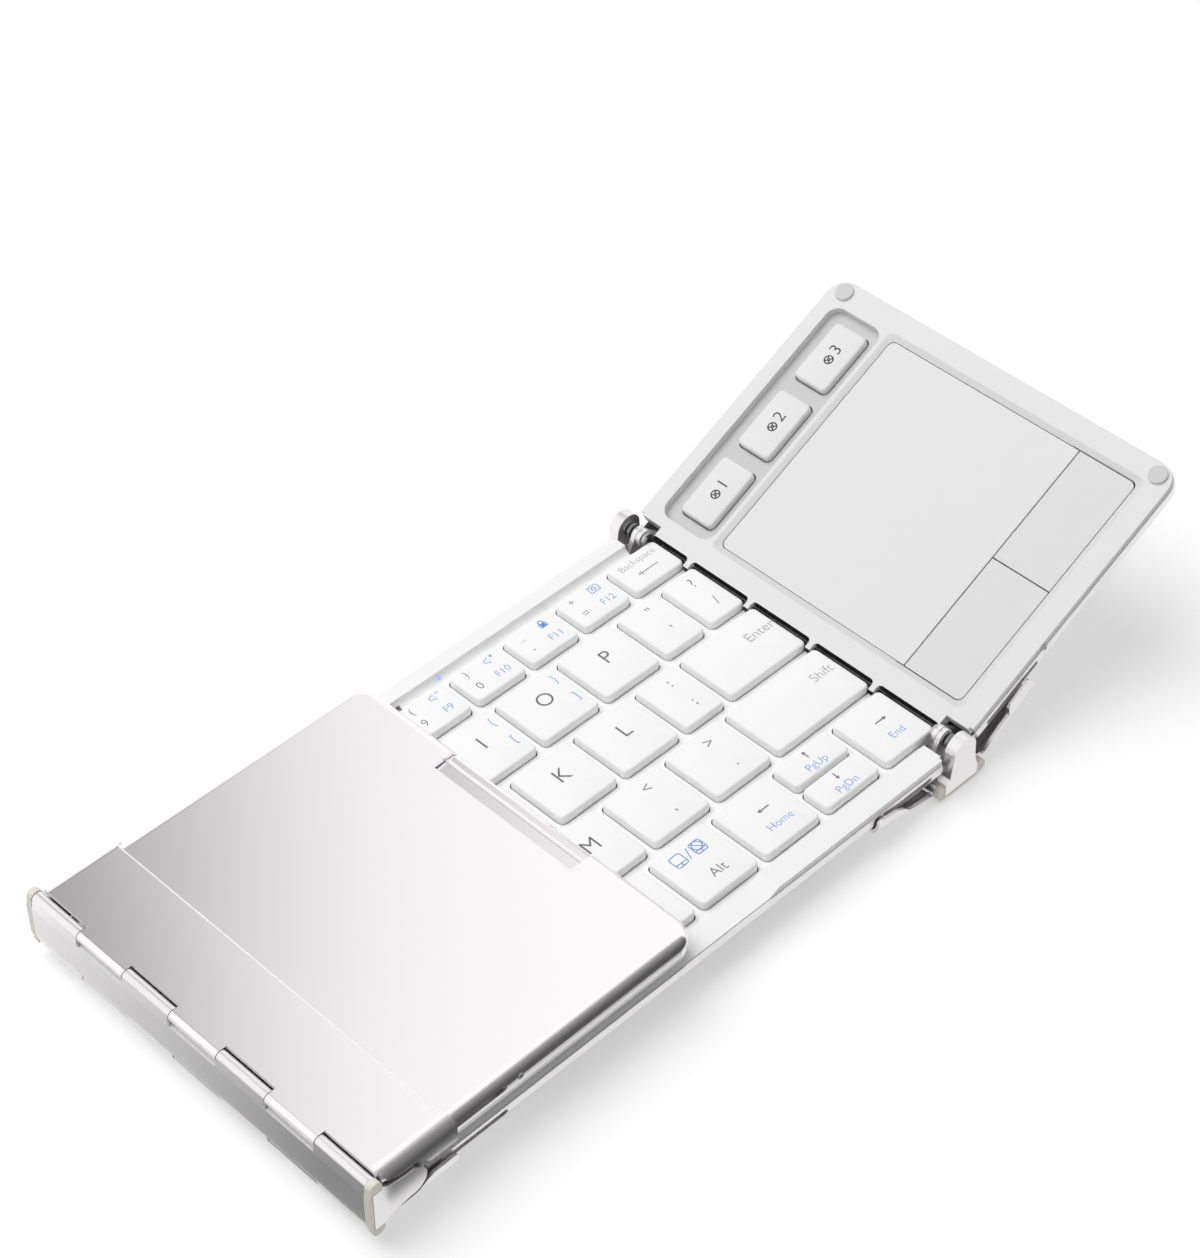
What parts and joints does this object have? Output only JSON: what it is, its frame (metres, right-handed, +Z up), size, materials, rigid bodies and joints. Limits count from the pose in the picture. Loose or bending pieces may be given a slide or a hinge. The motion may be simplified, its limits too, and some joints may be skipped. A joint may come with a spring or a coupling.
{
  "type": "folding keyboard",
  "caption": "Pocket keyboard in three hinged panels: keys in the middle, a key wing that folds over them, and a touchpad wing that folds up.",
  "frame": {"origin": "on the resting plane, in the middle of the middle foot strip under the centre panel, halfway between the two fold pivots", "axes": "+X towards the typist's right, along the row of panels; +Y towards the back, away from the typist; +Z up"},
  "size_m": [0.2285, 0.0976, 0.0423],
  "materials": {
    "aluminium": "fine satin, anodised silver",
    "white_plastic": "fine matte white",
    "grey_plastic": "smooth matte, very light grey",
    "ivory_plastic": "semi-matte, slightly translucent ivory",
    "steel": "plain steel",
    "rubber": "matte grey rubber",
    "board": "green circuit board",
    "cell_wrap": "grey foil wrap",
    "blue_lens": "clear blue lens, lit"
  },
  "bodies": {
    "base": {"base_tray": "aluminium", "key_deck": "white_plastic", "base_board": "board", "base_feet": "rubber", "indicator_lens": "blue_lens", "charge_port": "steel"},
    "key_0": {"key_0": "white_plastic"},
    "key_minus": {"key_minus": "white_plastic"},
    "key_equals": {"key_equals": "white_plastic"},
    "key_backspace": {"key_backspace": "white_plastic"},
    "key_o": {"key_o": "white_plastic"},
    "key_p": {"key_p": "white_plastic"},
    "key_quote": {"key_quote": "white_plastic"},
    "key_slash": {"key_slash": "white_plastic"},
    "key_k": {"key_k": "white_plastic"},
    "key_l": {"key_l": "white_plastic"},
    "key_semicolon": {"key_semicolon": "white_plastic"},
    "key_enter": {"key_enter": "white_plastic"},
    "key_comma": {"key_comma": "white_plastic"},
    "key_period": {"key_period": "white_plastic"},
    "key_shift": {"key_shift": "white_plastic"},
    "key_alt": {"key_alt": "white_plastic"},
    "key_arrow_left": {"key_arrow_left": "white_plastic"},
    "key_arrow_up": {"key_arrow_up": "white_plastic"},
    "key_arrow_down": {"key_arrow_down": "white_plastic"},
    "key_arrow_right": {"key_arrow_right": "white_plastic"},
    "centre_keys_rear": {"centre_keys_rear": "white_plastic"},
    "centre_keys_middle": {"centre_keys_middle": "white_plastic"},
    "space_bars": {"space_bars": "white_plastic"},
    "left_wing": {"left_tray": "aluminium", "left_deck": "white_plastic", "left_board": "board"},
    "left_keys_rear": {"left_keys_rear": "white_plastic"},
    "left_keys_middle": {"left_keys_middle": "white_plastic"},
    "left_keys_front": {"left_keys_front": "white_plastic"},
    "right_wing": {"right_tray": "aluminium", "right_deck": "white_plastic", "touchpad": "grey_plastic", "rubber_bumpers": "rubber", "battery": "cell_wrap", "touch_board": "board"},
    "device_key_1": {"device_key_1": "white_plastic"},
    "device_key_2": {"device_key_2": "white_plastic"},
    "device_key_3": {"device_key_3": "white_plastic"},
    "click_button_left": {"click_button_left": "grey_plastic"},
    "click_button_right": {"click_button_right": "grey_plastic"},
    "left_spine": {"left_spine": "aluminium", "left_end_caps": "ivory_plastic", "left_knuckle_rods": "steel", "left_pivot_pins": "steel", "left_spring_washers": "steel"},
    "left_sleeve_base": {"left_sleeve_base": "aluminium"},
    "left_sleeve_wing": {"left_sleeve_wing": "aluminium"},
    "right_spine": {"right_spine": "aluminium", "right_end_caps": "ivory_plastic", "right_knuckle_rods": "steel", "right_pivot_pins": "steel", "right_spring_washers": "steel"},
    "right_sleeve_base": {"right_sleeve_base": "aluminium"},
    "right_sleeve_wing": {"right_sleeve_wing": "aluminium"}
  },
  "joints": [
    {"name": "left_spine_open", "type": "hinge", "parent": "base", "child": "left_spine", "pos_m": [-0.075, 0, 0.0102], "axis": [0, -1, 0], "range_deg": [0, 90]},
    {"name": "left_wing_open", "type": "hinge", "parent": "left_spine", "child": "left_wing", "pos_m": [-0.075, 0, 0.0102], "axis": [0, -1, 0], "range_deg": [0, 90]},
    {"name": "right_spine_fold", "type": "hinge", "parent": "base", "child": "right_spine", "pos_m": [0.075, 0, 0.0102], "axis": [0, -1, 0], "range_deg": [0, 90]},
    {"name": "right_wing_fold", "type": "hinge", "parent": "right_spine", "child": "right_wing", "pos_m": [0.075, 0, 0.0102], "axis": [0, -1, 0], "range_deg": [-26, 64]},
    {"name": "left_sleeve_base_turn", "type": "hinge", "parent": "left_spine", "child": "left_sleeve_base", "pos_m": [-0.0834, 0, 0.0044], "axis": [0, -1, 0], "range_deg": [-82, 0]},
    {"name": "left_sleeve_wing_turn", "type": "hinge", "parent": "left_spine", "child": "left_sleeve_wing", "pos_m": [-0.0834, 0, 0.016], "axis": [0, -1, 0], "range_deg": [0, 82]},
    {"name": "right_sleeve_base_turn", "type": "hinge", "parent": "right_spine", "child": "right_sleeve_base", "pos_m": [0.0692, 0, 0.0018], "axis": [0, -1, 0], "range_deg": [-82, 0]},
    {"name": "right_sleeve_wing_turn", "type": "hinge", "parent": "right_spine", "child": "right_sleeve_wing", "pos_m": [0.0808, 0, 0.0018], "axis": [0, -1, 0], "range_deg": [-24, 58]},
    {"name": "key_0_press", "type": "slide", "parent": "base", "child": "key_0", "axis": [0, 0, -1], "range_m": [0, 0.0012], "stiffness_N_per_m": 300},
    {"name": "key_minus_press", "type": "slide", "parent": "base", "child": "key_minus", "axis": [0, 0, -1], "range_m": [0, 0.0012], "stiffness_N_per_m": 300},
    {"name": "key_equals_press", "type": "slide", "parent": "base", "child": "key_equals", "axis": [0, 0, -1], "range_m": [0, 0.0012], "stiffness_N_per_m": 300},
    {"name": "key_backspace_press", "type": "slide", "parent": "base", "child": "key_backspace", "axis": [0, 0, -1], "range_m": [0, 0.0012], "stiffness_N_per_m": 300},
    {"name": "key_o_press", "type": "slide", "parent": "base", "child": "key_o", "axis": [0, 0, -1], "range_m": [0, 0.0012], "stiffness_N_per_m": 300},
    {"name": "key_p_press", "type": "slide", "parent": "base", "child": "key_p", "axis": [0, 0, -1], "range_m": [0, 0.0012], "stiffness_N_per_m": 300},
    {"name": "key_quote_press", "type": "slide", "parent": "base", "child": "key_quote", "axis": [0, 0, -1], "range_m": [0, 0.0012], "stiffness_N_per_m": 300},
    {"name": "key_slash_press", "type": "slide", "parent": "base", "child": "key_slash", "axis": [0, 0, -1], "range_m": [0, 0.0012], "stiffness_N_per_m": 300},
    {"name": "key_k_press", "type": "slide", "parent": "base", "child": "key_k", "axis": [0, 0, -1], "range_m": [0, 0.0012], "stiffness_N_per_m": 300},
    {"name": "key_l_press", "type": "slide", "parent": "base", "child": "key_l", "axis": [0, 0, -1], "range_m": [0, 0.0012], "stiffness_N_per_m": 300},
    {"name": "key_semicolon_press", "type": "slide", "parent": "base", "child": "key_semicolon", "axis": [0, 0, -1], "range_m": [0, 0.0012], "stiffness_N_per_m": 300},
    {"name": "key_enter_press", "type": "slide", "parent": "base", "child": "key_enter", "axis": [0, 0, -1], "range_m": [0, 0.0012], "stiffness_N_per_m": 300},
    {"name": "key_comma_press", "type": "slide", "parent": "base", "child": "key_comma", "axis": [0, 0, -1], "range_m": [0, 0.0012], "stiffness_N_per_m": 300},
    {"name": "key_period_press", "type": "slide", "parent": "base", "child": "key_period", "axis": [0, 0, -1], "range_m": [0, 0.0012], "stiffness_N_per_m": 300},
    {"name": "key_shift_press", "type": "slide", "parent": "base", "child": "key_shift", "axis": [0, 0, -1], "range_m": [0, 0.0012], "stiffness_N_per_m": 300},
    {"name": "key_alt_press", "type": "slide", "parent": "base", "child": "key_alt", "axis": [0, 0, -1], "range_m": [0, 0.0012], "stiffness_N_per_m": 300},
    {"name": "key_arrow_left_press", "type": "slide", "parent": "base", "child": "key_arrow_left", "axis": [0, 0, -1], "range_m": [0, 0.0012], "stiffness_N_per_m": 300},
    {"name": "key_arrow_up_press", "type": "slide", "parent": "base", "child": "key_arrow_up", "axis": [0, 0, -1], "range_m": [0, 0.0012], "stiffness_N_per_m": 300},
    {"name": "key_arrow_down_press", "type": "slide", "parent": "base", "child": "key_arrow_down", "axis": [0, 0, -1], "range_m": [0, 0.0012], "stiffness_N_per_m": 300},
    {"name": "key_arrow_right_press", "type": "slide", "parent": "base", "child": "key_arrow_right", "axis": [0, 0, -1], "range_m": [0, 0.0012], "stiffness_N_per_m": 300},
    {"name": "centre_keys_rear_press", "type": "slide", "parent": "base", "child": "centre_keys_rear", "axis": [0, 0, -1], "range_m": [0, 0.0012], "stiffness_N_per_m": 3000},
    {"name": "centre_keys_middle_press", "type": "slide", "parent": "base", "child": "centre_keys_middle", "axis": [0, 0, -1], "range_m": [0, 0.0012], "stiffness_N_per_m": 2700},
    {"name": "space_bars_press", "type": "slide", "parent": "base", "child": "space_bars", "axis": [0, 0, -1], "range_m": [0, 0.0012], "stiffness_N_per_m": 600},
    {"name": "left_keys_rear_press", "type": "slide", "parent": "left_wing", "child": "left_keys_rear", "axis": [0, 0, 1], "range_m": [0, 0.0012], "stiffness_N_per_m": 2400},
    {"name": "left_keys_middle_press", "type": "slide", "parent": "left_wing", "child": "left_keys_middle", "axis": [0, 0, 1], "range_m": [0, 0.0012], "stiffness_N_per_m": 2100},
    {"name": "left_keys_front_press", "type": "slide", "parent": "left_wing", "child": "left_keys_front", "axis": [0, 0, 1], "range_m": [0, 0.0012], "stiffness_N_per_m": 1200},
    {"name": "device_key_1_press", "type": "slide", "parent": "right_wing", "child": "device_key_1", "axis": [0.4384, 0, -0.8988], "range_m": [0, 0.0012], "stiffness_N_per_m": 300},
    {"name": "device_key_2_press", "type": "slide", "parent": "right_wing", "child": "device_key_2", "axis": [0.4384, 0, -0.8988], "range_m": [0, 0.0012], "stiffness_N_per_m": 300},
    {"name": "device_key_3_press", "type": "slide", "parent": "right_wing", "child": "device_key_3", "axis": [0.4384, 0, -0.8988], "range_m": [0, 0.0012], "stiffness_N_per_m": 300},
    {"name": "click_button_left_press", "type": "slide", "parent": "right_wing", "child": "click_button_left", "axis": [0.4384, 0, -0.8988], "range_m": [0, 0.0004], "stiffness_N_per_m": 300},
    {"name": "click_button_right_press", "type": "slide", "parent": "right_wing", "child": "click_button_right", "axis": [0.4384, 0, -0.8988], "range_m": [0, 0.0004], "stiffness_N_per_m": 300}
  ],
  "couplings": [
    {"joint": "left_sleeve_base_turn", "follows": "left_spine_open", "ratio": -0.90222},
    {"joint": "left_sleeve_wing_turn", "follows": "left_wing_open", "ratio": 0.90222},
    {"joint": "right_sleeve_base_turn", "follows": "right_spine_fold", "ratio": -0.90222},
    {"joint": "right_sleeve_wing_turn", "follows": "right_wing_fold", "ratio": 0.90222}
  ]
}
